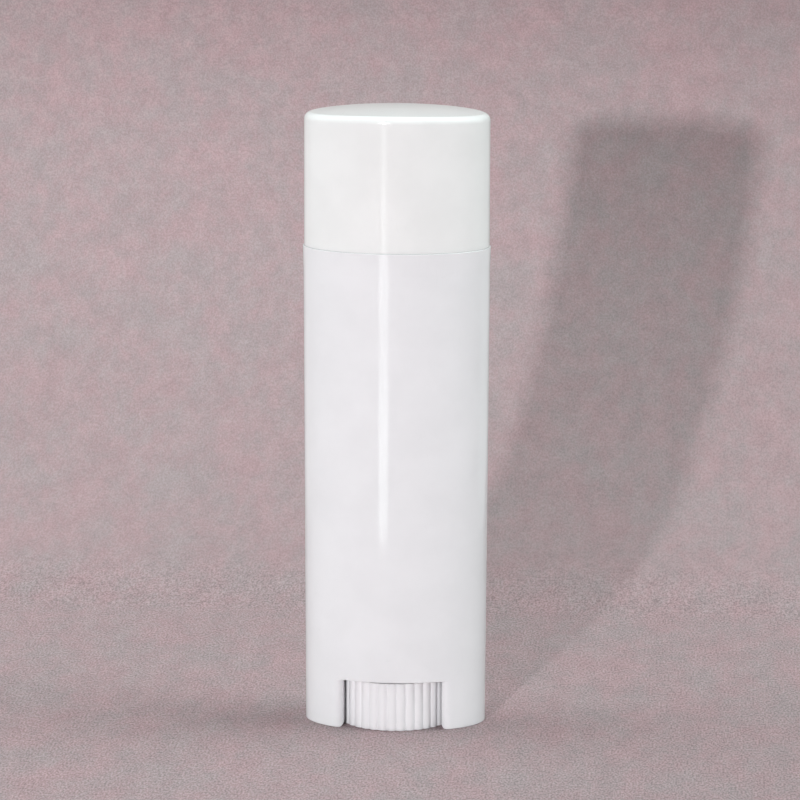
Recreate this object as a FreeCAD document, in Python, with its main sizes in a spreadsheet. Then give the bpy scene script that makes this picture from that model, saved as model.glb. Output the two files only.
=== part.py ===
"""Oval twist-up lipstick container: barrel, cap, turn wheel with its lead screw, and carrier.

Millimetres, +Z up, origin at the middle of the foot. The width of the oval runs along X, its depth along Y.
"""
import FreeCAD, Part
import math
import os

import Sketcher
from FreeCAD import Vector

SIZES = [
    # name, value, what it is
    ("barrel_height", 54.89, "foot of the legs to the shoulder that the cap sits on"),
    ("shoulder_width", 21.08, "oval barrel just below its lip, across X"),
    ("shoulder_depth", 13.38, "oval barrel just below its lip, across Y"),
    ("barrel_taper", 0.26, "how much each side of the barrel draws in from shoulder to foot"),
    ("lip_flare", 0.085, "how far the lip at the shoulder stands out on each side"),
    ("lip_height", 2.6, "height of the flared stretch below the shoulder"),
    ("lip_edge", 0.08, "rounding of the shoulder's outer edge"),
    ("foot_edge", 0.15, "rounding of the barrel's lower outer edge"),
    ("skirt_wall", 1.6, "wall of the legs around the wheel"),
    ("window_height", 5.69, "foot to the top of the front and back windows"),
    ("window_width", 11.1, "clear width between the legs"),
    ("window_foot_radius", 0.7, "rounding of the window's corners at the foot"),
    ("window_edge_radius", 0.75, "rounding of the window's upright edges"),
    ("floor_thickness", 1.2, "floor between the wheel and the chamber"),
    ("collar_height", 0.8, "boss around the bearing hole, above the floor"),
    ("collar_wall", 1.1, "wall of that boss"),
    ("cap_height", 15.5, "shoulder to the middle of the cap's top"),
    ("cap_crown", 0.5, "how far the cap's domed top falls from its middle to its ends"),
    ("cap_setback", 0.15, "how far the cap's side lies inside the lip"),
    ("cap_wall", 0.8, "side wall of the cap"),
    ("cap_roof", 1.3, "top wall of the cap at its middle"),
    ("cap_edge_radius", 0.78, "rounding of the cap's top edge"),
    ("cap_foot_edge", 0.07, "rounding of the cap's lower outer edge"),
    ("cap_lead_in", 0.35, "chamfer inside the cap's mouth"),
    ("neck_clearance", 0.2, "gap between the neck and the cap's wall, each side"),
    ("neck_headroom", 0.9, "gap between the neck's rim and the cap's roof"),
    ("neck_wall", 0.75, "wall of the neck, which sets the chamber's bore"),
    ("neck_rim_edge", 0.3, "rounding of the neck's rim"),
    ("bead_rise", 3.0, "shoulder to the middle of the snap bead"),
    ("bead_height", 0.9, "height of the snap bead along the neck"),
    ("bead_depth", 0.12, "how far the snap bead stands out"),
    ("groove_depth", 0.1, "depth of the cap's matching groove"),
    ("groove_height", 1.3, "height of the cap's matching groove"),
    ("wheel_setback", 0.13, "how far the wheel lies inside the barrel's foot, front and back"),
    ("wheel_side_gap", 0.35, "gap between the wheel and the legs"),
    ("wheel_top_gap", 0.2, "gap between the wheel and the floor above it"),
    ("wheel_foot_gap", 0.05, "gap between the wheel and the surface it stands over"),
    ("wheel_rim_wall", 1.2, "wall of the wheel's rim"),
    ("wheel_web", 1.1, "disc that closes the wheel below"),
    ("wheel_recess_width", 7.6, "shallow recess under the wheel, for the gate"),
    ("wheel_recess_depth", 0.3, "depth of that recess"),
    ("rib_count", 36, "grip ribs around the wheel"),
    ("rib_radius", 0.7, "round top of each rib"),
    ("rib_depth", 0.18, "how far each rib stands out of the wheel"),
    ("thrust_wall", 0.9, "how far the wheel's boss reaches past the journal"),
    ("journal_diameter", 4.0, "spindle where it turns in the floor"),
    ("journal_clearance", 0.05, "running gap around the journal"),
    ("snap_gap", 0.15, "gap between the boss and the snap ring above it"),
    ("snap_reach", 0.3, "how far the snap ring overhangs the bearing hole"),
    ("snap_height", 1.1, "height of the snap ring's cone"),
    ("screw_pass", 0.1, "how much narrower the screw is than the journal, so that it passes the bearing"),
    ("screw_core", 2.7, "core of the lead screw"),
    ("screw_lead", 6.0, "lift for each turn"),
    ("screw_starts", 2, "threads side by side on the screw"),
    ("ridge_root", 1.2, "width of a thread where it leaves the core"),
    ("ridge_crest", 0.7, "width of a thread at its crest"),
    ("screw_flats", 3.0, "distance between the two flats of the screw"),
    ("screw_start_gap", 0.6, "snap ring to the first thread's middle, less half its root"),
    ("screw_drop", 6.5, "how far the screw's tip lies below the neck's rim"),
    ("screw_tip", 0.4, "chamfer of the screw's tip"),
    ("thread_embed", 0.15, "how deep threads and lugs are rooted in what carries them"),
    ("thread_play", 0.25, "gap between the screw's threads and the nut's lugs"),
    ("carrier_clearance", 0.15, "gap between the carrier and the bore, each side"),
    ("carrier_rest_gap", 0.4, "gap between the snap ring and the carrier at its lowest"),
    ("carrier_height", 6.0, "height of the carrier's cup"),
    ("carrier_wall", 0.7, "wall of the carrier's cup"),
    ("carrier_plate", 1.0, "floor of the carrier's cup"),
    ("hub_height", 5.5, "height of the carrier's hub"),
    ("hub_wall", 0.75, "wall of the hub"),
    ("lug_rise", 2.0, "how far each lug climbs along its helix"),
    ("fin_width", 0.6, "thickness of the two fins that hold the stick"),
    ("fin_height", 4.2, "height of the fins above the carrier's underside"),
]

# Heights and radii that follow from the sizes above.
DERIVED = [
    ("rim_width", "shoulder_width + 2 * lip_flare"),
    ("rim_depth", "shoulder_depth + 2 * lip_flare"),
    ("foot_width", "shoulder_width - 2 * barrel_taper"),
    ("foot_depth", "shoulder_depth - 2 * barrel_taper"),
    ("overall_height", "barrel_height + cap_height"),
    ("cap_width", "rim_width - 2 * cap_setback"),
    ("cap_depth", "rim_depth - 2 * cap_setback"),
    ("cap_inner_width", "cap_width - 2 * cap_wall"),
    ("cap_inner_depth", "cap_depth - 2 * cap_wall"),
    ("neck_width", "cap_inner_width - 2 * neck_clearance"),
    ("neck_depth", "cap_inner_depth - 2 * neck_clearance"),
    ("bore_width", "neck_width - 2 * neck_wall"),
    ("bore_depth", "neck_depth - 2 * neck_wall"),
    ("neck_top", "overall_height - cap_roof - neck_headroom"),
    ("bead_middle", "barrel_height + bead_rise"),
    ("floor_top", "window_height + floor_thickness"),
    ("collar_top", "floor_top + collar_height"),
    ("bearing_diameter", "journal_diameter + 2 * journal_clearance"),
    ("collar_diameter", "bearing_diameter + 2 * collar_wall"),
    ("wheel_diameter", "foot_depth - 2 * wheel_setback"),
    ("wheel_core", "wheel_diameter - 2 * rib_depth"),
    ("wheel_top", "window_height - wheel_top_gap"),
    ("snap_bottom", "collar_top + snap_gap"),
    ("snap_top", "snap_bottom + snap_height"),
    ("snap_diameter", "bearing_diameter + 2 * snap_reach"),
    ("screw_diameter", "journal_diameter - screw_pass"),
    ("screw_pitch", "screw_lead / screw_starts"),
    ("screw_start", "snap_top + screw_start_gap + ridge_root / 2"),
    ("screw_top", "neck_top - screw_drop"),
    ("carrier_bottom", "snap_top + carrier_rest_gap"),
    ("carrier_width", "bore_width - 2 * carrier_clearance"),
    ("carrier_depth", "bore_depth - 2 * carrier_clearance"),
    ("hub_bore", "screw_diameter + 2 * thread_play"),
    ("hub_diameter", "hub_bore + 2 * hub_wall"),
    ("lug_tip", "screw_core + 2 * thread_play"),
    ("ridge_slope", "( ridge_root - ridge_crest ) / ( screw_diameter - screw_core + 2 * thread_embed )"),
    ("lug_side", "( screw_pitch - ridge_root ) / 2 - thread_play"),
    ("lug_tip_half", "lug_side + ridge_slope * ( thread_play + thread_embed )"),
    ("lug_root_half", "lug_tip_half + ridge_slope * ( ( hub_bore - lug_tip ) / 2 + thread_embed )"),
    ("lip_start", "barrel_height - lip_height"),
    ("lip_turn", "lip_edge * ( 1 - cos(45 deg) )"),
    ("crown_radius", "( cap_width * cap_width / 4 + cap_crown * cap_crown ) / ( 2 * cap_crown )"),
    ("bead_width", "neck_width + 2 * bead_depth"),
    ("bead_reach_depth", "neck_depth + 2 * bead_depth"),
    ("groove_width", "cap_inner_width + 2 * groove_depth"),
    ("groove_reach_depth", "cap_inner_depth + 2 * groove_depth"),
]

CLOSE = 0.01  # two lengths nearer than this count as the same

doc = FreeCAD.newDocument("oval_container")
sheet = doc.addObject("Spreadsheet::Sheet", "Sizes")


def fill_sheet():
    """Write the driving sizes as plain numbers, then the sizes that follow from them as formulas."""
    for row, (name, value, note) in enumerate(SIZES, start=1):
        sheet.set(f"A{row}", name)
        sheet.set(f"B{row}", str(value))
        sheet.set(f"C{row}", note)
        sheet.setAlias(f"B{row}", name)
    for row, (name, formula) in enumerate(DERIVED, start=len(SIZES) + 2):
        sheet.set(f"A{row}", name)
        sheet.set(f"B{row}", "=" + formula)
        sheet.setAlias(f"B{row}", name)
    doc.recompute()


def size(name):
    """The value of a named size."""
    return float(sheet.get(name))


def bind(thing, prop, formula):
    """Tie a property to the sheet; a bare name in the formula stands for a cell of it."""
    words = [f"{sheet.Name}.{word}" if word.isidentifier() else word for word in formula.split()]
    thing.setExpression(prop, " ".join(words))


def new_body(name):
    body = doc.addObject("PartDesign::Body", name)
    body.Label = name
    return body


def origin_feature(body, role):
    return next(item for item in body.Origin.OriginFeatures if item.Role == role)


def new_sketch(body, name, role="XY_Plane", height=None):
    """A sketch on one of the body's own planes, lifted to a height where one is given."""
    sketch = body.newObject("Sketcher::SketchObject", name)
    sketch.AttachmentSupport = [(origin_feature(body, role), "")]
    sketch.MapMode = "FlatFace"
    if height:
        bind(sketch, "AttachmentOffset.Base.z", height)
    return sketch


def constrain(sketch, label, formula, kind, *where):
    """A driving dimension, named and bound to the sheet."""
    sketch.addConstraint(Sketcher.Constraint(kind, *where))
    index = sketch.ConstraintCount - 1
    sketch.renameConstraint(index, label)
    bind(sketch, f"Constraints.{label}", formula)


def add_oval(sketch, width, depth):
    """An ellipse about the sketch's origin, its long axis level."""
    shape = Part.Ellipse(Vector(0, 0, 0), 10.0, 6.0)
    ring = sketch.addGeometry(shape, False)
    sketch.exposeInternalGeometry(ring)
    long_axis, short_axis = ring + 1, ring + 2
    sketch.addConstraint(Sketcher.Constraint("Coincident", ring, 3, -1, 1))
    sketch.addConstraint(Sketcher.Constraint("Horizontal", long_axis))
    constrain(sketch, f"width{ring}", width, "Distance", long_axis, 10.0)
    constrain(sketch, f"depth{ring}", depth, "Distance", short_axis, 6.0)


def add_circle(sketch, diameter):
    ring = sketch.addGeometry(Part.Circle(Vector(0, 0, 0), Vector(0, 0, 1), 3.0), False)
    sketch.addConstraint(Sketcher.Constraint("Coincident", ring, 3, -1, 1))
    constrain(sketch, f"diameter{ring}", diameter, "Diameter", ring, 6.0)


def oval_sketch(body, name, width, depth, height=None):
    sketch = new_sketch(body, name, height=height)
    add_oval(sketch, width, depth)
    return sketch


def circle_sketch(body, name, diameter, height=None):
    sketch = new_sketch(body, name, height=height)
    add_circle(sketch, diameter)
    return sketch


def rough_ring(count):
    """Starting points for an outline; its dimensions move them into place."""
    turn = FreeCAD.Rotation(Vector(0, 0, 1), 360.0 / count)
    points = [Vector(5, 0, 0)]
    for _ in range(count - 1):
        points.append(turn.multVec(points[-1]))
    return points


def hold_point(sketch, where, across, along):
    """Hold one end of a piece of an outline at its two distances from the sketch's origin."""
    piece, end = where
    for axis, formula in (("X", across), ("Y", along)):
        if formula == "0":
            through = -2 if axis == "X" else -1
            sketch.addConstraint(Sketcher.Constraint("PointOnObject", piece, end, through))
        else:
            label = f"{axis.lower()}{piece}_{end}"
            constrain(sketch, label, formula, f"Distance{axis}", -1, 1, piece, end, 1.0)


def add_outline(sketch, corners):
    """A closed outline of straight sides; each corner is a pair of formulas, across and along."""
    points = rough_ring(len(corners))
    first = sketch.GeometryCount
    lines = list(range(first, first + len(corners)))
    for start, end in zip(points, points[1:] + points[:1]):
        sketch.addGeometry(Part.LineSegment(start, end), False)
    for line, following in zip(lines, lines[1:] + lines[:1]):
        sketch.addConstraint(Sketcher.Constraint("Coincident", line, 2, following, 1))
    for line, (across, along) in zip(lines, corners):
        hold_point(sketch, (line, 1), across, along)


def outline_sketch(body, name, role, corners, height=None):
    sketch = new_sketch(body, name, role, height)
    add_outline(sketch, corners)
    return sketch


def rectangle(left, right, low, high):
    return [(left, low), (right, low), (right, high), (left, high)]


def pad(body, name, profile, length):
    feature = body.newObject("PartDesign::Pad", name)
    feature.Profile = profile
    bind(feature, "Length", length)
    return feature


def cut(body, name, profile, length=None, upward=False, both_ways=False):
    """A pocket from its sketch, through everything where no length is given; it has to remove something."""
    doc.recompute()
    before = body.Shape.Volume
    feature = body.newObject("PartDesign::Pocket", name)
    feature.Profile = profile
    if length:
        bind(feature, "Length", length)
    else:
        feature.Type = "ThroughAll"
    feature.Reversed = upward
    feature.Midplane = both_ways
    doc.recompute()
    if body.Shape.Volume >= before:
        raise RuntimeError(f"{name} cuts nothing")
    return feature


def loft(body, kind, name, sketches):
    feature = body.newObject(f"PartDesign::{kind}", name)
    feature.Profile = sketches[0]
    feature.Sections = sketches[1:]
    feature.Ruled = True
    return feature


def soften(body, kind, name, test, amount):
    """Round (Fillet) or bevel (Chamfer) the body's edges that pass a test."""
    doc.recompute()
    base = body.Tip
    names = [f"Edge{index}" for index, edge in enumerate(base.Shape.Edges, start=1) if test(edge)]
    if not names:
        raise RuntimeError(f"{name} finds no edge")
    feature = body.newObject(f"PartDesign::{kind}", name)
    feature.Base = (base, names)
    bind(feature, "Radius" if kind == "Fillet" else "Size", amount)
    return feature


def ring_pattern(body, name, feature, count):
    """Copies of a feature evenly around the body's Z axis."""
    pattern = body.newObject("PartDesign::PolarPattern", name)
    pattern.Originals = [feature]
    pattern.Axis = (origin_feature(body, "Z_Axis"), [""])
    pattern.Angle = 360.0
    bind(pattern, "Occurrences", count)
    body.Tip = pattern
    return pattern


def helix(body, name, profile, pitch, height):
    """A left-handed ridge that climbs around the body's Z axis."""
    feature = body.newObject("PartDesign::AdditiveHelix", name)
    feature.Profile = profile
    feature.ReferenceAxis = (profile, ["V_Axis"])
    feature.Mode = "pitch-height-angle"
    feature.LeftHanded = True
    bind(feature, "Pitch", pitch)
    bind(feature, "Height", height)
    return feature


def flat_ring_at(height):
    """Test for an edge that lies level at a height."""
    def test(edge):
        box = edge.BoundBox
        return abs(box.ZMin - height) < CLOSE and abs(box.ZMax - height) < CLOSE
    return test


def make_barrel():
    body = new_body("barrel")

    # Outside: a moulding's draft from foot to lip, the slight flare of the lip, and its rounded edge.
    outside = [
        oval_sketch(body, "foot_oval", "foot_width", "foot_depth"),
        oval_sketch(body, "lip_start_oval", "shoulder_width", "shoulder_depth", "lip_start"),
        oval_sketch(body, "lip_oval", "rim_width", "rim_depth", "barrel_height - lip_edge"),
        oval_sketch(body, "lip_turn_oval", "rim_width - 2 * lip_turn", "rim_depth - 2 * lip_turn",
                    "barrel_height - lip_turn"),
        oval_sketch(body, "lip_top_oval", "rim_width - 2 * lip_edge", "rim_depth - 2 * lip_edge",
                    "barrel_height"),
    ]
    loft(body, "AdditiveLoft", "outside", outside)

    # Neck, its snap bead and the chamber.
    neck_oval = oval_sketch(body, "neck_oval", "neck_width", "neck_depth", "barrel_height")
    pad(body, "neck", neck_oval, "neck_top - barrel_height")
    bead = [
        oval_sketch(body, "bead_low", "neck_width", "neck_depth", "bead_middle - bead_height / 2"),
        oval_sketch(body, "bead_crest", "bead_width", "bead_reach_depth", "bead_middle"),
        oval_sketch(body, "bead_high", "neck_width", "neck_depth", "bead_middle + bead_height / 2"),
    ]
    loft(body, "AdditiveLoft", "snap_bead", bead)
    chamber_oval = oval_sketch(body, "chamber_oval", "bore_width", "bore_depth", "floor_top")
    cut(body, "chamber", chamber_oval, upward=True)
    soften(body, "Fillet", "rim_rounding", flat_ring_at(size("neck_top")), "neck_rim_edge")

    # Skirt around the wheel: an oval space, eased by a round one that the wheel turns in.
    skirt_oval = oval_sketch(body, "skirt_oval", "foot_width - 2 * skirt_wall",
                             "foot_depth - 2 * skirt_wall")
    cut(body, "skirt", skirt_oval, "window_height", upward=True)
    wheel_round = circle_sketch(body, "wheel_round", "wheel_diameter + 2 * wheel_side_gap")
    cut(body, "wheel_space", wheel_round, "window_height", upward=True)

    # Front and back windows: their upright edges rounded, then the legs' lower edges, then their corners.
    half = "window_width / 2"
    window = outline_sketch(body, "window_outline", "XZ_Plane",
                            rectangle(f"-1 * {half}", half, "0", "window_height"))
    cut(body, "windows", window, both_ways=True)
    soften(body, "Fillet", "window_rounding", is_window_edge, "window_edge_radius")
    soften(body, "Fillet", "foot_rounding", is_foot_edge, "foot_edge")
    corners = new_sketch(body, "window_corners", "XZ_Plane")
    add_foot_corner(corners, 1)
    add_foot_corner(corners, -1)
    cut(body, "window_foot_corners", corners, both_ways=True)

    # Bearing for the spindle: a boss above the floor and a hole through both.
    collar = circle_sketch(body, "collar_ring", "collar_diameter", "floor_top - floor_thickness / 2")
    pad(body, "collar", collar, "collar_height + floor_thickness / 2")
    bearing = circle_sketch(body, "bearing_ring", "bearing_diameter", "collar_top")
    cut(body, "bearing", bearing, "collar_height + 2 * floor_thickness")
    return body


def is_window_edge(edge):
    """Upright edges where the window meets the outside of the barrel."""
    box = edge.BoundBox
    across = abs(box.Center.x)
    upright = box.ZLength > 0.9 * size("window_height") and box.ZMax < size("window_height") + CLOSE
    outside = oval_reach(size("foot_width"), size("foot_depth"), across) - CLOSE
    return upright and abs(across - size("window_width") / 2) < CLOSE and abs(box.Center.y) > outside


def is_foot_edge(edge):
    """The lower outer edges of the legs, which lie on the foot's oval."""
    middle = edge.valueAt((edge.FirstParameter + edge.LastParameter) / 2)
    across, along = 2 * middle.x / size("foot_width"), 2 * middle.y / size("foot_depth")
    return flat_ring_at(0)(edge) and abs(across ** 2 + along ** 2 - 1) < CLOSE


def oval_reach(width, depth, across):
    """How far an oval reaches in Y at a distance across from its middle."""
    return depth / 2 * (1 - (2 * across / width) ** 2) ** 0.5


def add_foot_corner(sketch, side):
    """The bit of leg outside a corner's rounding: two straight sides and a hollow arc."""
    near = f"{side} * window_width / 2"
    far = f"{side} * ( window_width / 2 + window_foot_radius )"
    rise = "window_foot_radius"
    first = sketch.GeometryCount
    base, upright, arc = first, first + 1, first + 2
    inner = Vector(side * 5, 0, 0)
    outer = Vector(side * 6, 0, 0)
    upper = Vector(side * 5, 1, 0)
    sketch.addGeometry(Part.LineSegment(inner, outer), False)
    sketch.addGeometry(Part.LineSegment(upper, inner), False)
    middle = Vector(side * 6, 1, 0)
    circle = Part.Circle(middle, Vector(0, 0, 1), 1.0)
    start = math.pi if side > 0 else 1.5 * math.pi
    sketch.addGeometry(Part.ArcOfCircle(circle, start, start + math.pi / 2), False)
    arc_upper, arc_foot = (1, 2) if side > 0 else (2, 1)
    sketch.addConstraint(Sketcher.Constraint("Coincident", base, 1, upright, 2))
    sketch.addConstraint(Sketcher.Constraint("Coincident", base, 2, arc, arc_foot))
    sketch.addConstraint(Sketcher.Constraint("Coincident", upright, 1, arc, arc_upper))
    hold_point(sketch, (base, 1), near, "0")
    hold_point(sketch, (base, 2), far, "0")
    hold_point(sketch, (upright, 1), near, rise)
    constrain(sketch, f"centre{arc}", far, "DistanceX", -1, 1, arc, 3, 1.0)


def make_cap():
    body = new_body("cap")
    outside = oval_sketch(body, "cap_oval", "cap_width", "cap_depth", "barrel_height")
    pad(body, "cap_block", outside, "cap_height")
    crown = new_sketch(body, "crown_section", "XZ_Plane")
    add_crown(crown)
    dome = body.newObject("PartDesign::Groove", "crown")
    dome.Profile = crown
    dome.ReferenceAxis = (crown, ["V_Axis"])
    dome.Angle = 360.0
    soften(body, "Fillet", "top_rounding", is_cap_rim, "cap_edge_radius")
    soften(body, "Fillet", "foot_rounding", flat_ring_at(size("barrel_height")), "cap_foot_edge")
    inside = oval_sketch(body, "cap_inside", "cap_inner_width", "cap_inner_depth", "barrel_height")
    cut(body, "hollow", inside, "cap_height - cap_roof", upward=True)
    soften(body, "Chamfer", "mouth_lead_in", is_cap_mouth, "cap_lead_in")

    # Groove that the neck's bead snaps into.
    middle = "bead_middle"
    reach = "groove_height / 2"
    groove = [
        oval_sketch(body, "groove_low", "cap_inner_width", "cap_inner_depth", f"{middle} - {reach}"),
        oval_sketch(body, "groove_crest", "groove_width", "groove_reach_depth", middle),
        oval_sketch(body, "groove_high", "cap_inner_width", "cap_inner_depth", f"{middle} + {reach}"),
    ]
    loft(body, "SubtractiveLoft", "snap_groove", groove)
    return body


def add_crown(sketch):
    """What a domed top leaves off a flat one: a region between an arc and the two sides above it."""
    reach, top = "cap_width", "overall_height"
    first = sketch.GeometryCount
    arc, upright, level, axis = first, first + 1, first + 2, first + 3
    circle = Part.Circle(Vector(0, -20, 0), Vector(0, 0, 1), 30.0)
    start, end = math.pi / 3, math.pi / 2
    sketch.addGeometry(Part.ArcOfCircle(circle, start, end), False)
    low, high = Vector(15, 6, 0), Vector(15, 12, 0)
    peak, over = Vector(0, 10, 0), Vector(0, 12, 0)
    sketch.addGeometry(Part.LineSegment(low, high), False)
    sketch.addGeometry(Part.LineSegment(high, over), False)
    sketch.addGeometry(Part.LineSegment(over, peak), False)
    sketch.addConstraint(Sketcher.Constraint("Coincident", arc, 1, upright, 1))
    sketch.addConstraint(Sketcher.Constraint("Coincident", upright, 2, level, 1))
    sketch.addConstraint(Sketcher.Constraint("Coincident", level, 2, axis, 1))
    sketch.addConstraint(Sketcher.Constraint("Coincident", axis, 2, arc, 2))
    sketch.addConstraint(Sketcher.Constraint("Vertical", upright))
    sketch.addConstraint(Sketcher.Constraint("Horizontal", level))
    sketch.addConstraint(Sketcher.Constraint("PointOnObject", arc, 3, -2))
    constrain(sketch, "crown_radius", "crown_radius", "Radius", arc, 30.0)
    hold_point(sketch, (axis, 2), "0", top)
    hold_point(sketch, (upright, 2), reach, f"{top} + cap_crown")


def is_cap_rim(edge):
    """The edge all round where the cap's side meets its domed top."""
    box = edge.BoundBox
    low = size("overall_height") - size("cap_crown") - CLOSE
    return box.ZMin > low and box.ZMax < size("overall_height") and box.XLength > size("cap_inner_width")


def is_cap_mouth(edge):
    """The inner edge of the cap's open end."""
    level = flat_ring_at(size("barrel_height"))
    return level(edge) and abs(edge.BoundBox.XLength - size("cap_inner_width")) < CLOSE


def make_turn_wheel():
    body = new_body("turn_wheel")
    foot, top = "wheel_foot_gap", "wheel_top"
    web = "wheel_foot_gap + wheel_web"
    rim_inside = "wheel_core / 2 - wheel_rim_wall"
    boss = "journal_diameter / 2 + thrust_wall"
    journal, core = "journal_diameter / 2", "screw_core / 2"
    turned = [
        ("0", "wheel_foot_gap + wheel_recess_depth"),
        ("wheel_recess_width / 2", "wheel_foot_gap + wheel_recess_depth"),
        ("wheel_recess_width / 2", foot),
        ("wheel_core / 2", foot),
        ("wheel_core / 2", top),
        (rim_inside, top),
        (rim_inside, web),
        (boss, web),
        (boss, top),
        (journal, top),
        (journal, "snap_bottom"),
        ("snap_diameter / 2", "snap_bottom"),
        (journal, "snap_top"),
        (core, "snap_top"),
        (core, "screw_top - screw_tip"),
        (f"{core} - screw_tip", "screw_top"),
        ("0", "screw_top"),
    ]
    section = outline_sketch(body, "turned_section", "XZ_Plane", turned)
    round_part = body.newObject("PartDesign::Revolution", "wheel_and_spindle")
    round_part.Profile = section
    round_part.ReferenceAxis = (section, ["V_Axis"])
    round_part.Angle = 360.0

    # Grip ribs: round-topped bars all around the wheel, one of them facing the front.
    rib_round = new_sketch(body, "rib_round", height=foot)
    ring = rib_round.addGeometry(Part.Circle(Vector(0, -5, 0), Vector(0, 0, 1), 1.0), False)
    constrain(rib_round, "radius", "rib_radius", "Radius", ring, 1.0)
    hold_point(rib_round, (ring, 3), "0", "rib_radius - wheel_diameter / 2")
    rib = pad(body, "rib", rib_round, "wheel_top - wheel_foot_gap")
    ring_pattern(body, "ribs", rib, "rib_count")

    # Lead screw: ridges with sloping flanks, one for each start, cut away along two flats.
    inner = f"{core} - thread_embed"
    outer = "screw_diameter / 2"
    ridge = [
        (inner, "screw_start - ridge_root / 2"),
        (outer, "screw_start - ridge_crest / 2"),
        (outer, "screw_start + ridge_crest / 2"),
        (inner, "screw_start + ridge_root / 2"),
    ]
    ridge_section = outline_sketch(body, "ridge_section", "XZ_Plane", ridge)
    thread = helix(body, "thread", ridge_section, "screw_lead",
                   "screw_top - screw_tip - ridge_root - screw_start")
    ring_pattern(body, "threads", thread, "screw_starts")
    for side, name in ((1, "back_flat"), (-1, "front_flat")):
        near, far = f"{side} * screw_flats / 2", f"{side} * screw_diameter"
        flat = outline_sketch(body, f"{name}_outline", "XY_Plane",
                              rectangle("-1 * screw_diameter", "screw_diameter", near, far), "snap_top")
        cut(body, name, flat, upward=True)
    return body


def make_carrier():
    body = new_body("carrier")
    bottom = "carrier_bottom"
    outside = oval_sketch(body, "cup_oval", "carrier_width", "carrier_depth", bottom)
    pad(body, "cup_block", outside, "carrier_height")
    inside = oval_sketch(body, "cup_inside", "carrier_width - 2 * carrier_wall",
                         "carrier_depth - 2 * carrier_wall", "carrier_bottom + carrier_plate")
    cut(body, "cup_hollow", inside, upward=True)

    # Hub for the nut, and the two fins that key into the stick.
    hub = circle_sketch(body, "hub_round", "hub_diameter", bottom)
    pad(body, "hub", hub, "hub_height")
    reach = "( carrier_width - carrier_wall ) / 2"
    fins = outline_sketch(body, "fin_outline", "XY_Plane",
                          rectangle(f"-1 * {reach}", reach, "-1 * fin_width / 2", "fin_width / 2"), bottom)
    pad(body, "fins", fins, "fin_height")
    bore = circle_sketch(body, "hub_bore_round", "hub_bore", bottom)
    cut(body, "bore", bore, upward=True)

    # Nut: one helical lug for each start of the screw, midway between its ridges.
    middle = "( screw_start + screw_pitch / 2 )"
    tip, root = "lug_tip / 2", "hub_bore / 2 + thread_embed"
    lug = [
        (tip, f"{middle} - lug_tip_half"),
        (root, f"{middle} - lug_root_half"),
        (root, f"{middle} + lug_root_half"),
        (tip, f"{middle} + lug_tip_half"),
    ]
    lug_section = outline_sketch(body, "lug_section", "XZ_Plane", lug)
    single = helix(body, "lug", lug_section, "screw_lead", "lug_rise")
    ring_pattern(body, "lugs", single, "screw_starts")
    return body


def check(bodies):
    """Stop if any object failed or any sub-part isn't one sound solid."""
    for thing in doc.Objects:
        if "Invalid" in thing.State or "Error" in thing.State:
            raise RuntimeError(f"{thing.Name} failed: {thing.State}")
    for body in bodies:
        shape = body.Shape
        if shape.isNull() or not shape.isValid() or len(shape.Solids) != 1:
            raise RuntimeError(f"{body.Label} isn't one sound solid")


fill_sheet()
parts = [make_barrel(), make_cap(), make_turn_wheel(), make_carrier()]
doc.recompute()
check(parts)
os.makedirs("parts", exist_ok=True)
for part in parts:
    part.Placement = FreeCAD.Placement()
    part.Shape.exportStep(f"parts/{part.Label}.step")
    box = part.Shape.optimalBoundingBox(False, False)
    print(f"{part.Label}: {box.XLength:.2f} x {box.YLength:.2f} x {box.ZLength:.2f} mm, "
          f"from z {box.ZMin:.2f}, {part.Shape.Volume:.1f} mm3")
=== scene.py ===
# %% [markdown]
# # An oval twist-up container in white plastic
#
# The real object is four mouldings: a tapered oval barrel, a cap that pulls off its neck, a ribbed wheel
# with a screw standing on it, and a little cup that the screw lifts. All four are exact solids already,
# so nothing has to be modelled again here. What is left is what makes plastic look like plastic: its
# finish, the light and the paper.

# %% Load the four mouldings
import math
import bpy
from mathutils import Matrix, Vector


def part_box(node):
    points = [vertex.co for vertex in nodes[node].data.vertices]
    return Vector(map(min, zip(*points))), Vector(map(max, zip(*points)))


MM = 0.001
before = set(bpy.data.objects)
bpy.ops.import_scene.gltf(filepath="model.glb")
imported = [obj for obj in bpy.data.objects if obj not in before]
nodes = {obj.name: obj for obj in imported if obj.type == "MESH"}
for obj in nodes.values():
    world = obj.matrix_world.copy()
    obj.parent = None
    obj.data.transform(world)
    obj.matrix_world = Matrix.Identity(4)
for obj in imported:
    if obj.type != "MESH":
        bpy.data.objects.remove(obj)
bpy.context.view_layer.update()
print("mouldings:", ", ".join(sorted(nodes)))

# %% [markdown]
# ## Places to measure from
#
# Every lamp and the camera stand around the container, so its own size is the best ruler.

# %% Sizes of the container
cap_low, cap_high = (Vector(corner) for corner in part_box("cap"))
shoulder = cap_low.z
height = cap_high.z
print(f"height {height / MM:.2f} mm, shoulder at {shoulder / MM:.2f} mm")

# %% [markdown]
# ## Helpers for node trees
#
# A material is a small graph. A few short helpers keep its making readable: one adds a node and fills its
# sockets, and another makes a group with named inputs and outputs. A socket is given either a plain value
# or another node's output. It goes by its name, or by its number where several share one name, as the
# inputs of a Math node do.

# %% Helpers: nodes and groups
def add(tree, kind, settings=None, **sockets):
    """Add a node; settings are its own properties, sockets are values or outputs that feed it.

    A socket's name is written with underscores for spaces, and _6 stands for socket number 6.
    """
    node = tree.nodes.new(kind)
    for name, value in (settings or {}).items():
        setattr(node, name, value)
    for name, value in sockets.items():
        socket = node.inputs[int(name[1:])] if name[1:].isdigit() else node.inputs[name.replace("_", " ")]
        if isinstance(value, bpy.types.NodeSocket):
            tree.links.new(value, socket)
        else:
            socket.default_value = value
    return node


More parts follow.
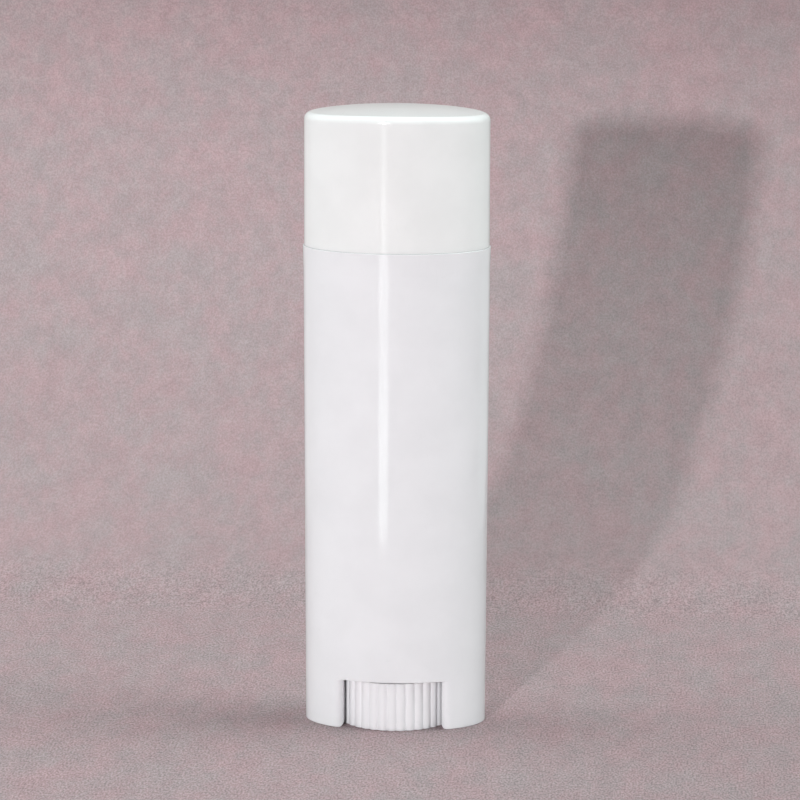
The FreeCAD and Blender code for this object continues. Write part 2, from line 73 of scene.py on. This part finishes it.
def math_node(tree, operation, first, second=0.0, clamp=False):
    """The result of one sum."""
    settings = {"operation": operation, "use_clamp": clamp}
    return add(tree, "ShaderNodeMath", settings, _0=first, _1=second).outputs[0]


def noise(tree, place, scale, detail, roughness=0.5):
    """A noise value; scale is in features for each metre, and detail adds finer ones."""
    node = add(tree, "ShaderNodeTexNoise", {}, Vector=place, Scale=scale, Detail=detail,
               Roughness=roughness)
    return node.outputs["Fac"]


def ramp(tree, value, low, high, to_low=0.0, to_high=1.0):
    """Stretch a value from one range to another, smoothly and without overshoot."""
    settings = {"interpolation_type": "SMOOTHSTEP"}
    node = add(tree, "ShaderNodeMapRange", settings, Value=value, From_Min=low, From_Max=high,
               To_Min=to_low, To_Max=to_high)
    return node.outputs["Result"]


def new_group(name, inputs, outputs):
    """A shader node group with number inputs and outputs; gives the group and its two end nodes."""
    group = bpy.data.node_groups.new(name, "ShaderNodeTree")
    for title, value in inputs.items():
        socket = group.interface.new_socket(title, in_out="INPUT", socket_type="NodeSocketFloat")
        socket.default_value = value
    for title in outputs:
        group.interface.new_socket(title, in_out="OUTPUT", socket_type="NodeSocketFloat")
    start = group.nodes.new("NodeGroupInput")
    end = group.nodes.new("NodeGroupOutput")
    return group, start, end


def use_group(tree, group, **values):
    """Place a group in a material with that material's own values."""
    node = tree.nodes.new("ShaderNodeGroup")
    node.node_tree = group
    for name, value in values.items():
        node.inputs[name.replace("_", " ")].default_value = value
    return node

# %% [markdown]
# ## The moulded skin
#
# A polished steel mould gives polypropylene its gloss, but the plastic shrinks as it cools, so the skin
# is never a perfect mirror: it has a long, shallow ripple, a fine satin grain left by the polishing, and
# faint patches where the melt cooled sooner. Painting these as an image would need unwrapping. Noise in
# the object's own coordinates needs none, and it moves with the piece. The group gives a height for the
# bump, a patch value and a grain value.

# %% Group: moulded skin
def moulded_skin():
    """The skin's height for a bump, and two values that vary over it: patches and grain."""
    group, start, end = new_group(
        "moulded skin",
        {"Ripple Length": 4 * MM, "Ripple Height": 0.004 * MM, "Grain Height": 0.0004 * MM},
        ["Height", "Patches", "Grain"])
    place = add(group, "ShaderNodeTexCoord").outputs["Object"]
    per_metre = math_node(group, "DIVIDE", 1.0, start.outputs["Ripple Length"])
    ripple = noise(group, place, scale=per_metre, detail=1.5, roughness=0.4)
    grain = noise(group, place, scale=9000.0, detail=2.0, roughness=0.6)
    patches = noise(group, place, scale=180.0, detail=4.0, roughness=0.55)
    low = math_node(group, "MULTIPLY", ripple, start.outputs["Ripple Height"])
    fine = math_node(group, "MULTIPLY", grain, start.outputs["Grain Height"])
    group.links.new(math_node(group, "ADD", low, fine), end.inputs["Height"])
    group.links.new(patches, end.inputs["Patches"])
    group.links.new(grain, end.inputs["Grain"])
    return group


skin = moulded_skin()
print("group", skin.name, "with", len(skin.nodes), "nodes")

# %% [markdown]
# ## Handling marks
#
# A pocket container is turned, capped and rubbed against keys. Its proud edges go a little satin, and a
# few hairlines cross the flat of the oval. The Bevel node finds edges: where the softened normal leaves
# the true one, there is an edge. The hairlines are thin slices through a noise that is stretched along
# one direction, and a second, coarser noise lets only some of them show.

# %% Group: handling marks
def stretched(tree, place, turn, stretch, scale):
    """Noise drawn out along one direction, which is turned about the Y and Z axes."""
    turned = add(tree, "ShaderNodeMapping", {}, Vector=place, Rotation=(0.0, turn, turn / 3), Scale=stretch)
    return noise(tree, turned.outputs[0], scale, detail=1.0)


def thin_line(tree, value, level, width):
    """One where a value is within a width of a level, and nothing elsewhere."""
    away = math_node(tree, "ABSOLUTE", math_node(tree, "SUBTRACT", value, level))
    return ramp(tree, away, 0.0, width, to_low=1.0, to_high=0.0)


def handling_marks():
    """Two masks: how far the edges are rubbed, and where the hairlines run."""
    group, start, end = new_group(
        "handling marks",
        {"Edge Reach": 0.2 * MM, "Edge Wear": 0.5, "Hairlines": 0.5},
        ["Edges", "Hairlines"])
    place = add(group, "ShaderNodeTexCoord").outputs["Object"]
    soft = add(group, "ShaderNodeBevel", {"samples": 4}, Radius=start.outputs["Edge Reach"])
    true = add(group, "ShaderNodeNewGeometry").outputs["Normal"]
    agree = add(group, "ShaderNodeVectorMath", {"operation": "DOT_PRODUCT"}, _0=soft.outputs[0], _1=true)
    flat, sharp = 0.99, 0.8
    edge = ramp(group, agree.outputs["Value"], flat, sharp)
    rubbed = noise(group, place, scale=700.0, detail=3.0)
    worn = math_node(group, "MULTIPLY", edge, ramp(group, rubbed, 0.35, 0.65, to_low=0.4))
    group.links.new(math_node(group, "MULTIPLY", worn, start.outputs["Edge Wear"], True),
                    end.inputs["Edges"])

    width = 0.004
    steep = stretched(group, place, turn=0.5, stretch=(1.0, 1.0, 0.06), scale=900.0)
    slanted = stretched(group, place, turn=-1.1, stretch=(0.08, 1.0, 1.0), scale=700.0)
    lines = math_node(group, "MAXIMUM", thin_line(group, steep, 0.5, width),
                      thin_line(group, slanted, 0.46, width))
    where = noise(group, place, scale=220.0, detail=2.0)
    some = math_node(group, "MULTIPLY", lines, ramp(group, where, 0.56, 0.68))
    group.links.new(math_node(group, "MULTIPLY", some, start.outputs["Hairlines"], True),
                    end.inputs["Hairlines"])
    return group


marks = handling_marks()
print("group", marks.name, "with", len(marks.nodes), "nodes")

# %% [markdown]
# ## White polypropylene
#
# All four pieces come from the same white resin, yet they don't look alike: the barrel is polished and
# faintly cool, the cap is a little brighter, the wheel's ribs are moulded dull so that they grip, and the
# carrier is left as the tool made it. So one function builds the finish, and each piece asks for its own
# colour, gloss and amount of wear. The two groups only put out values; the Principled shader that they
# feed stays in the material.

# %% Function: one plastic finish
dull_shade, worn_shade = 0.965, 0.93    # how light the plainer patches and the hairlines are
patch_change = (0.03, -0.02)            # what the patches add to the roughness, from one end to the other
grain_change = 0.05                     # how far the grain spreads the roughness
rubbed_change = 0.3                     # what a rubbed edge or a hairline adds to it
groove_depth = 0.004 * MM               # how deep a hairline is


def white_plastic(name, colour, roughness, ripple, grain, edge_wear, hairlines, glow=0.8, mirror=0.5):
    """A moulded white plastic.

    Ripple and grain are heights and glow is how far light spreads inside, all in millimetres.
    """
    material = bpy.data.materials.new(name)
    material.use_nodes = True
    tree = material.node_tree
    shader = tree.nodes["Principled BSDF"]
    surface = use_group(tree, skin, Ripple_Height=ripple * MM, Grain_Height=grain * MM)
    wear = use_group(tree, marks, Edge_Wear=edge_wear, Hairlines=hairlines)

    # Colour: the melt's faint patches, and a greyer line where a hairline has caught dirt.
    dull = tuple(dull_shade * part for part in colour)
    worn = tuple(worn_shade * part for part in colour)
    shade = ramp(tree, surface.outputs["Patches"], 0.3, 0.7)
    body = add(tree, "ShaderNodeMix", {"data_type": "RGBA"}, Factor=shade,
               _6=(*dull, 1.0), _7=(*colour, 1.0))
    scuffed = add(tree, "ShaderNodeMix", {"data_type": "RGBA"}, Factor=wear.outputs["Hairlines"],
                  _6=body.outputs[2], _7=(*worn, 1.0))
    tree.links.new(scuffed.outputs[2], shader.inputs["Base Color"])

    # Gloss: patches and grain vary it a little, edges and hairlines break it.
    rougher, smoother = (roughness + change for change in patch_change)
    patchy = ramp(tree, surface.outputs["Patches"], 0.3, 0.7, to_low=rougher, to_high=smoother)
    grained = math_node(tree, "MULTIPLY_ADD", surface.outputs["Grain"], grain_change)
    grained.node.inputs[2].default_value = -grain_change / 2
    gloss = math_node(tree, "ADD", patchy, grained)
    rubbed = math_node(tree, "MAXIMUM", wear.outputs["Edges"], wear.outputs["Hairlines"])
    rubbed = math_node(tree, "MULTIPLY", rubbed, rubbed_change)
    tree.links.new(math_node(tree, "ADD", gloss, rubbed, True), shader.inputs["Roughness"])

    # Relief: ripple and grain, with each hairline a shallow groove.
    groove = math_node(tree, "MULTIPLY", wear.outputs["Hairlines"], groove_depth)
    relief = math_node(tree, "SUBTRACT", surface.outputs["Height"], groove)
    bump = add(tree, "ShaderNodeBump", {}, Height=relief, Distance=1.0)
    tree.links.new(bump.outputs[0], shader.inputs["Normal"])

    shader.inputs["IOR"].default_value = 1.49
    shader.inputs["Specular IOR Level"].default_value = mirror
    shader.inputs["Subsurface Weight"].default_value = 0.3
    shader.inputs["Subsurface Radius"].default_value = (1.0, 1.0, 1.0)
    shader.inputs["Subsurface Scale"].default_value = glow * MM
    return material


def finish_node(name, material):
    """Give a moulding its material in place of the plain one."""
    piece = nodes[name]
    piece.data.materials.clear()
    piece.data.materials.append(material)
    print(f"{name}: {material.name}, {len(piece.data.polygons)} faces")

# %% [markdown]
# ## The four finishes
#
# White in a picture is never 1.0: good white plastic sends back about 85 hundredths of the light. Keeping
# the colours near that leaves room for the highlights. The barrel leans towards blue by two hundredths,
# which is how whitened polypropylene looks beside the neutral cap. The cap is a little less smooth and
# mirrors less, so that the bright line down the front is fainter on it.

# %% Finish: barrel
barrel_plastic = white_plastic("polished white plastic", (0.827, 0.83, 0.85), roughness=0.08,
                               ripple=0.004, grain=0.0003, edge_wear=0.5, hairlines=0.5)
finish_node("barrel", barrel_plastic)

# %% Finish: cap
cap_plastic = white_plastic("bright white plastic", (0.856, 0.865, 0.863), roughness=0.1,
                            ripple=0.002, grain=0.0004, edge_wear=0.6, hairlines=0.4, mirror=0.3)
finish_node("cap", cap_plastic)

# %% Finish: turn wheel
wheel_plastic = white_plastic("ribbed white plastic", (0.865, 0.86, 0.885), roughness=0.34,
                              ripple=0.002, grain=0.0006, edge_wear=0.8, hairlines=0.2, glow=2.0)
finish_node("turn_wheel", wheel_plastic)

# %% Finish: carrier
carrier_plastic = white_plastic("plain white plastic", (0.845, 0.84, 0.845), roughness=0.38,
                                ripple=0.003, grain=0.0008, edge_wear=0.3, hairlines=0.1)
finish_node("carrier", carrier_plastic)

# %% [markdown]
# ## A sheet of paper under and behind
#
# Small products are often stood on one long sheet of paper that rises behind them in a curve, so there is
# no corner to see. A strip of quads along that curve is enough. The bend is a quarter of an ellipse,
# because paper lifts off the table slowly and then turns up fast.

# %% Stage: the paper sweep
def sweep_line():
    """Points of the paper from its front edge to its top, as distances back and up."""
    front_edge, top_edge = -0.6, 0.35
    bend_start, bend_back, bend_rise = 50 * MM, 95 * MM, 70 * MM
    line = [(front_edge, 0.0), (0.0, 0.0)]
    steps = 48
    for step in range(steps + 1):
        angle = math.pi / 2 * step / steps
        line.append((bend_start + bend_back * math.sin(angle), bend_rise * (1 - math.cos(angle))))
    line.append((bend_start + bend_back, top_edge))
    return line


def paper_sweep():
    """The sheet as one strip of quads from side to side, smooth along the bend."""
    half_width = 0.6
    line = sweep_line()
    points = [(side * half_width, back, up) for back, up in line for side in (-1, 1)]
    faces = [(2 * row, 2 * row + 1, 2 * row + 3, 2 * row + 2) for row in range(len(line) - 1)]
    mesh = bpy.data.meshes.new("paper_sweep")
    mesh.from_pydata(points, [], faces)
    mesh.shade_smooth()
    sweep = bpy.data.objects.new("paper_sweep", mesh)
    bpy.context.scene.collection.objects.link(sweep)
    return sweep


def table_top():
    """A wide table a little under the paper, with the same covering."""
    reach, depth = 2.5, 0.3 * MM
    sides = ((-1, -1), (1, -1), (1, 1), (-1, 1))
    corners = [(across * reach, back * reach, -depth) for across, back in sides]
    mesh = bpy.data.meshes.new("table")
    mesh.from_pydata(corners, [], [(0, 1, 2, 3)])
    table = bpy.data.objects.new("table", mesh)
    bpy.context.scene.collection.objects.link(table)
    return table


sweep = paper_sweep()
table = table_top()
print("paper sweep:", len(sweep.data.polygons), "strips, on a table of", len(table.data.polygons))

# %% [markdown]
# ## The paper's finish
#
# Coloured paper is matt and never quite even. The fibres lie along the sheet and show as a fine grain,
# the pulp varies in lightness over a millimetre or two, and the dye takes a little pinker in one place
# and greyer in the next. Three noises stand for the three, all drawn out along the sheet as the fibres
# are. Light rakes across the flat part and the fibres throw tiny shadows there, so the grain's colour
# has more contrast where the sheet lies level: painted shadow on top of the real grain. The colour is
# also painted paler towards the sheet's top and its left side, as painted light. The upright part
# would hide the container from anyone who walks round it, so it is clear from behind. Far off, the
# paper fades into a pale wall, so that no dark edge of the table shows from the side.

# %% Finish: paper
far_wall = (0.44, 0.36, 0.37, 1.0)
greyer_dye, pinker_dye = (0.344, 0.281, 0.289, 1.0), (0.39, 0.27, 0.284, 1.0)
black = (0.0, 0.0, 0.0, 1.0)


def dyed_paper(name, clear_from_behind):
    """Matt dyed paper with pulp and grain, painted fibre shadow where level and a painted paler side."""
    material = bpy.data.materials.new(name)
    material.use_nodes = True
    tree = material.node_tree
    shader = tree.nodes["Principled BSDF"]
    place = add(tree, "ShaderNodeTexCoord").outputs["Object"]
    along = add(tree, "ShaderNodeMapping", {}, Vector=place, Scale=(1.0, 0.4, 1.0)).outputs[0]
    aside = add(tree, "ShaderNodeMapping", {}, Vector=along, Location=(3.0, 1.0, 2.0)).outputs[0]
    grain = noise(tree, along, scale=4500.0, detail=1.0)
    pulp = noise(tree, along, scale=420.0, detail=4.0, roughness=0.6)
    dye = noise(tree, aside, scale=150.0, detail=4.0, roughness=0.8)

    hue = add(tree, "ShaderNodeMix", {"data_type": "RGBA"}, Factor=ramp(tree, dye, 0.3, 0.7),
              _6=greyer_dye, _7=pinker_dye).outputs[2]
    cloudy = ramp(tree, pulp, 0.3, 0.7, to_low=0.95, to_high=1.05)
    facing = add(tree, "ShaderNodeNewGeometry")
    level = add(tree, "ShaderNodeSeparateXYZ", {}, Vector=facing.outputs["Normal"]).outputs["Z"]
    # Painted shadow: the grain's colour contrast is raised where the sheet lies level, standing for fibre
    # shadows.
    upright_contrast, level_contrast_with_painted_shadow = 0.135, 0.32
    contrast = ramp(tree, level, 0.98, 1.0, to_low=upright_contrast, to_high=level_contrast_with_painted_shadow)
    uneven = math_node(tree, "MULTIPLY", ramp(tree, grain, 0.2, 0.8, to_low=-1.0), contrast)
    grain_and_painted_shadow = math_node(tree, "ADD", uneven, 1.0)

    # Painted light: the sheet's colour is made paler towards its top and towards the left.
    spot = add(tree, "ShaderNodeSeparateXYZ", {}, Vector=place).outputs
    across = ramp(tree, spot["X"], -60 * MM, 60 * MM, to_low=1.06, to_high=0.94)
    painted_light_upwards = ramp(tree, spot["Z"], 0.0, 70 * MM, to_low=0.945, to_high=1.11)
    painted_light_gradient = math_node(tree, "MULTIPLY", across, painted_light_upwards)

    # Far from the container the camera sees the paper fade into the pale wall; no light comes of it.
    away = add(tree, "ShaderNodeVectorMath", {"operation": "LENGTH"}, _0=place).outputs["Value"]
    by_camera = add(tree, "ShaderNodeLightPath").outputs["Is Camera Ray"]
    fade_start, fade_end = 0.26, 0.6
    faded = math_node(tree, "MULTIPLY", ramp(tree, away, fade_start, fade_end), by_camera)
    haze = add(tree, "ShaderNodeMix", {"data_type": "RGBA"}, Factor=faded, _6=black, _7=far_wall)
    tree.links.new(haze.outputs[2], shader.inputs["Emission Color"])
    shader.inputs["Emission Strength"].default_value = 1.0
    near = math_node(tree, "SUBTRACT", 1.0, faded)
    # The painted light is kept only on the paper near the container.
    near_painted_light = math_node(tree, "MULTIPLY", painted_light_gradient, near)
    light = math_node(tree, "MULTIPLY", math_node(tree, "MULTIPLY", cloudy, grain_and_painted_shadow), near_painted_light)
    shade = add(tree, "ShaderNodeVectorMath", {"operation": "SCALE"}, _0=hue, Scale=light).outputs[0]
    tree.links.new(shade, shader.inputs["Base Color"])

    grain_share, fibre_height = 2.6, 0.004 * MM
    relief = math_node(tree, "ADD", pulp, math_node(tree, "MULTIPLY", grain, grain_share))
    bump = add(tree, "ShaderNodeBump", {}, Height=relief, Distance=fibre_height)
    tree.links.new(bump.outputs[0], shader.inputs["Normal"])
    shader.inputs["Roughness"].default_value = 0.85
    shader.inputs["Specular IOR Level"].default_value = 0.3

    if clear_from_behind:
        front = math_node(tree, "SUBTRACT", 1.0, facing.outputs["Backfacing"])
        tree.links.new(front, shader.inputs["Alpha"])
    return material


sweep.data.materials.append(dyed_paper("sweep paper", True))
table.data.materials.append(dyed_paper("table paper", False))
print("paper finishes:", sweep.data.materials[0].name, "and", table.data.materials[0].name)

# %% [markdown]
# ## Light
#
# White on a mid-tone needs little light and a lot of direction. A pale room gives some of it, which the
# world colour stands for. One small flash beside the camera, a little to the left and above, models the
# oval and throws its shadow on the paper. A long box overhead lights the cap's top, and a box at each
# side softens the shadow, the right one more. Two white cards at each side keep the turning edges of the
# oval from going dark: one stands beside the container and one close behind it. The flash is a shade
# pinker than the soft light, as two kinds of lamp in one room usually are, so the shadow looks greyer
# than the paper around it.

# %% Helpers: place something around the container
flash, fill = (1.01, 1.0, 1.01), (0.89, 1.0, 0.98)
middle = Vector((0, 0, height / 2))


def around(turn, rise, distance, centre):
    """A point at a bearing from the front, an angle above level and a distance from a centre."""
    flat = distance * math.cos(rise)
    return centre + Vector((math.sin(turn) * flat, -math.cos(turn) * flat, math.sin(rise) * distance))


def lamp(name, turn, rise, distance, size, radiance, colour=fill, centre=middle):
    """A rectangular lamp that faces a centre.

    Turn and rise are in degrees, distance and size in metres, and radiance is how bright its face is,
    with 1 as white.
    """
    width, tall = size
    light = bpy.data.lights.new(name, "AREA")
    light.shape = "RECTANGLE"
    light.size = width
    light.size_y = tall
    light.color = colour
    light.energy = radiance * math.pi * width * tall
    piece = bpy.data.objects.new(name, light)
    piece.location = around(math.radians(turn), math.radians(rise), distance, centre)
    piece.rotation_euler = (centre - piece.location).to_track_quat("-Z", "Y").to_euler()
    piece.visible_camera = False
    bpy.context.scene.collection.objects.link(piece)
    print(f"{name}: {light.energy:.4f} W")
    return piece

# %% Lamps
low_centre = Vector((0, 0, 30 * MM))
lamp("key_lamp", turn=-11.4, rise=11.7, distance=0.543, size=(0.015, 0.015), radiance=2780.0, colour=flash)
lamp("overhead", turn=180, rise=85, distance=0.6, size=(0.5, 0.18), radiance=6.8)
for hand, side, box in (("left", -1, 1.3), ("right", 1, 3.0)):
    lamp(f"{hand}_box", turn=90 * side, rise=45, distance=0.6, size=(0.26, 0.6), radiance=box)
for hand, side, card, edge_card in (("left", -1, 0.65, 0.33), ("right", 1, 0.7, 0.8)):
    lamp(f"{hand}_card", turn=100 * side, rise=10, distance=0.3, size=(0.18, 0.3), radiance=card)
    lamp(f"{hand}_edge_card", turn=125 * side, rise=0, distance=0.11, size=(0.08, 0.08),
         radiance=edge_card, centre=low_centre)

# %% [markdown]
# ## What the polished side mirrors
#
# A gloss surface shows what stands around it, so one narrow strip low in front becomes one long bright
# line down the barrel. The strip comes in three lengths. The lowest is bright, so the line is strongest
# towards the foot, and the middle one is dimmer. The cap mirrors the highest. That one is thin but
# bright, because the cap sends back less of what it mirrors.

# %% Lamps: the strip that the streak mirrors
# Each length of the strip: its name, foot, top and width in millimetres, and its radiance.
strips = (("low", 0.8, 23, 13, 3.5), ("middle", 23, 37, 13, 2.5), ("high", 37, 60, 6, 4.2))
for part, low, high, width, radiance in strips:
    strip_centre = Vector((0, 0, (low + high) / 2 * MM))
    strip_size = (width * MM, (high - low) * MM)
    lamp(f"{part}_strip", turn=-11.0, rise=0, distance=0.1, size=strip_size, radiance=radiance,
         centre=strip_centre)

# %% [markdown]
# ## The room
#
# The world has two sides. What lights the container is dim and has the fill's colour. What the camera
# sees past the paper is the same pale wall that the paper fades into.

# %% World: the pale room
room_strength = 0.12
world = bpy.data.worlds.new("pale room")
world.use_nodes = True
room = world.node_tree
lit = room.nodes["Background"]
lit.inputs["Color"].default_value = (*fill, 1.0)
lit.inputs["Strength"].default_value = room_strength
seen = add(room, "ShaderNodeBackground", {}, Color=far_wall, Strength=1.0)
ray = add(room, "ShaderNodeLightPath").outputs["Is Camera Ray"]
both = add(room, "ShaderNodeMixShader", {}, _0=ray, _1=lit.outputs[0], _2=seen.outputs[0])
room.links.new(both.outputs[0], room.nodes["World Output"].inputs["Surface"])
bpy.context.scene.world = world
print("world:", world.name)

# %% [markdown]
# ## Camera
#
# A long lens from half a metre away looks slightly down on the shoulder, so that the cap's top shows as a
# thin oval. The camera turns a few degrees to the right of straight on. Building its axes by hand keeps
# the small tilt and the small shift that the framing needs.

# %% Camera
def place_camera():
    """The camera on its bearing, aimed a little above the container's middle and tilted by a hair."""
    turn, rise, tilt = math.radians(4.062), math.radians(10.897), math.radians(-0.171)
    distance = 541.494 * MM
    target = Vector((0, 0, 37.113 * MM))
    spot = around(turn, rise, distance, target)
    back = (spot - target).normalized()
    level_right = (-back).cross(Vector((0, 0, 1))).normalized()
    level_up = level_right.cross(-back)
    right = level_right * math.cos(tilt) - level_up * math.sin(tilt)
    up = level_right * math.sin(tilt) + level_up * math.cos(tilt)
    pose = Matrix((right, up, back)).transposed().to_4x4()
    pose.translation = spot
    data = bpy.data.cameras.new("camera")
    data.sensor_width = 36
    data.lens = 214.96
    data.shift_x = 0.0046
    data.clip_end = 20
    camera = bpy.data.objects.new("camera", data)
    camera.matrix_world = pose
    bpy.context.scene.collection.objects.link(camera)
    bpy.context.scene.camera = camera
    return camera


camera = place_camera()
bpy.context.scene.view_settings.view_transform = "Standard"
print("camera at", [round(value, 4) for value in camera.location])
